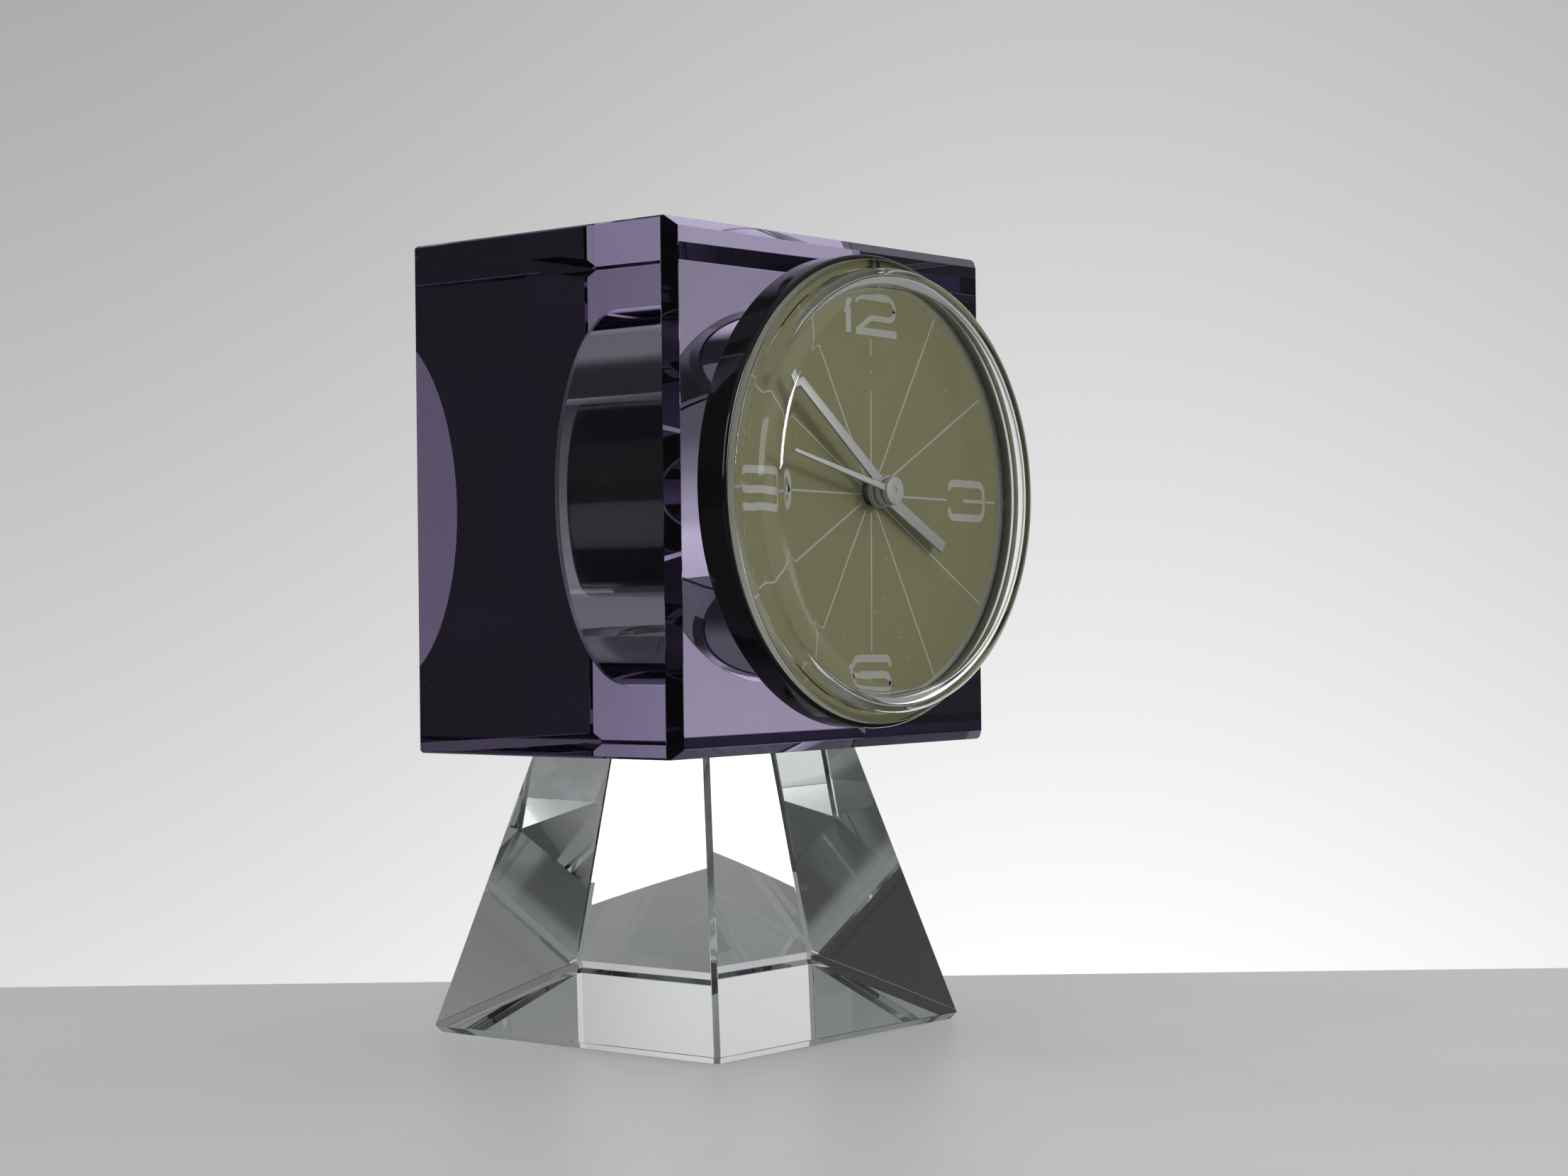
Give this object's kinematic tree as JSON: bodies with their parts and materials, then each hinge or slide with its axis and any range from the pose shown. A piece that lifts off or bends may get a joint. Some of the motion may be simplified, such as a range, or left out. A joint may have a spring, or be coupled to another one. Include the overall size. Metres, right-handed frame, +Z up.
{
  "type": "glass pedestal clock",
  "caption": "Round battery clock insert with a stepped clear crystal, plugged into a violet glass block that stands on a flared clear glass foot.",
  "frame": {"origin": "middle of the foot's flat resting face", "axes": "+Z up, the dial faces -Y, +X to the right of someone who reads the dial"},
  "size_m": [0.0874, 0.0849, 0.1411],
  "materials": {
    "clear_glass": "polished clear glass, ground flat faces",
    "clear_cement": "clear cured cement",
    "violet_glass": "polished violet glass, ground flat faces",
    "black_plastic": "moulded gloss black",
    "black_rubber": "matte",
    "olive_paint": "satin olive paint with printed hour lines",
    "clear_acrylic": "clear moulded acrylic",
    "hand_metal": "satin, pale grey paint",
    "brass": "stamped and hobbed brass",
    "steel": "turned steel",
    "white_plastic": "moulded acetal",
    "magnet": "sintered magnet on a steel arbor",
    "soft_iron": "blanked soft iron",
    "copper_wire": "enamelled copper winding",
    "movement_plastic": "moulded, fine texture",
    "green_board": "solder mask",
    "cell_sleeve": "plain sleeve, bare of print",
    "spring_plate": "nickel-plated spring strip"
  },
  "bodies": {
    "glass": {"glass_block": "violet_glass", "cement_film": "clear_cement", "glass_pedestal": "clear_glass"},
    "insert": {"bezel_ring": "black_plastic", "case_can": "black_plastic", "rear_cover": "black_plastic", "cover_screws": "steel", "grip_ring": "black_rubber", "dial": "olive_paint", "crystal": "clear_acrylic", "front_plate": "movement_plastic", "back_plate": "movement_plastic", "plate_screws": "steel", "stator": "soft_iron", "bobbin": "white_plastic", "coil": "copper_wire", "circuit_board": "green_board", "drive_chip": "movement_plastic", "quartz_can": "steel", "battery_cell": "cell_sleeve", "contact_plus": "spring_plate", "contact_minus": "spring_plate"},
    "minute": {"minute_hand": "hand_metal", "cannon_pinion": "brass"},
    "hour": {"hour_hand": "hand_metal", "hour_wheel": "brass"},
    "motion_work": {"minute_wheel": "brass"},
    "setting": {"set_knob": "movement_plastic", "set_pinion": "brass"},
    "seconds": {"second_hand": "hand_metal", "seconds_arbor": "steel"},
    "centre": {"centre_wheel": "brass"},
    "third": {"third_wheel": "brass"},
    "intermediate": {"intermediate_wheel": "white_plastic"},
    "stepper": {"rotor": "magnet"}
  },
  "joints": [
    {"name": "insert_pull", "type": "slide", "parent": "glass", "child": "insert", "axis": [0, -1, 0], "range_m": [0, 0.045]},
    {"name": "minute_turn", "type": "hinge", "parent": "insert", "child": "minute", "pos_m": [0, -0.0342, 0.09615], "axis": [0, 1, 0], "continuous": true},
    {"name": "hour_turn", "type": "hinge", "parent": "insert", "child": "hour", "pos_m": [0, -0.0342, 0.09615], "axis": [0, 1, 0], "continuous": true},
    {"name": "motion_work_turn", "type": "hinge", "parent": "insert", "child": "motion_work", "pos_m": [0, -0.0342, 0.10455], "axis": [0, 1, 0], "continuous": true},
    {"name": "set_knob_turn", "type": "hinge", "parent": "insert", "child": "setting", "pos_m": [0, -0.0342, 0.11295], "axis": [0, 1, 0], "continuous": true},
    {"name": "seconds_turn", "type": "hinge", "parent": "insert", "child": "seconds", "pos_m": [0, -0.0342, 0.09615], "axis": [0, 1, 0], "continuous": true},
    {"name": "third_turn", "type": "hinge", "parent": "insert", "child": "third", "pos_m": [-0.0102, -0.0342, 0.09615], "axis": [0, 1, 0], "continuous": true},
    {"name": "centre_turn", "type": "hinge", "parent": "insert", "child": "centre", "pos_m": [0, -0.0342, 0.09615], "axis": [0, 1, 0], "continuous": true},
    {"name": "intermediate_turn", "type": "hinge", "parent": "insert", "child": "intermediate", "pos_m": [0.00781, -0.0342, 0.08959], "axis": [0, 1, 0], "continuous": true},
    {"name": "stepper_turn", "type": "hinge", "parent": "insert", "child": "stepper", "pos_m": [0.01241, -0.0342, 0.08574], "axis": [0, 1, 0], "continuous": true}
  ],
  "couplings": [
    {"joint": "motion_work_turn", "follows": "minute_turn", "ratio": -0.33333},
    {"joint": "hour_turn", "follows": "minute_turn", "ratio": 0.083333},
    {"joint": "set_knob_turn", "follows": "minute_turn", "ratio": 1},
    {"joint": "third_turn", "follows": "seconds_turn", "ratio": -0.13333},
    {"joint": "centre_turn", "follows": "seconds_turn", "ratio": 0.016667},
    {"joint": "intermediate_turn", "follows": "seconds_turn", "ratio": -7.5},
    {"joint": "stepper_turn", "follows": "seconds_turn", "ratio": 30}
  ]
}
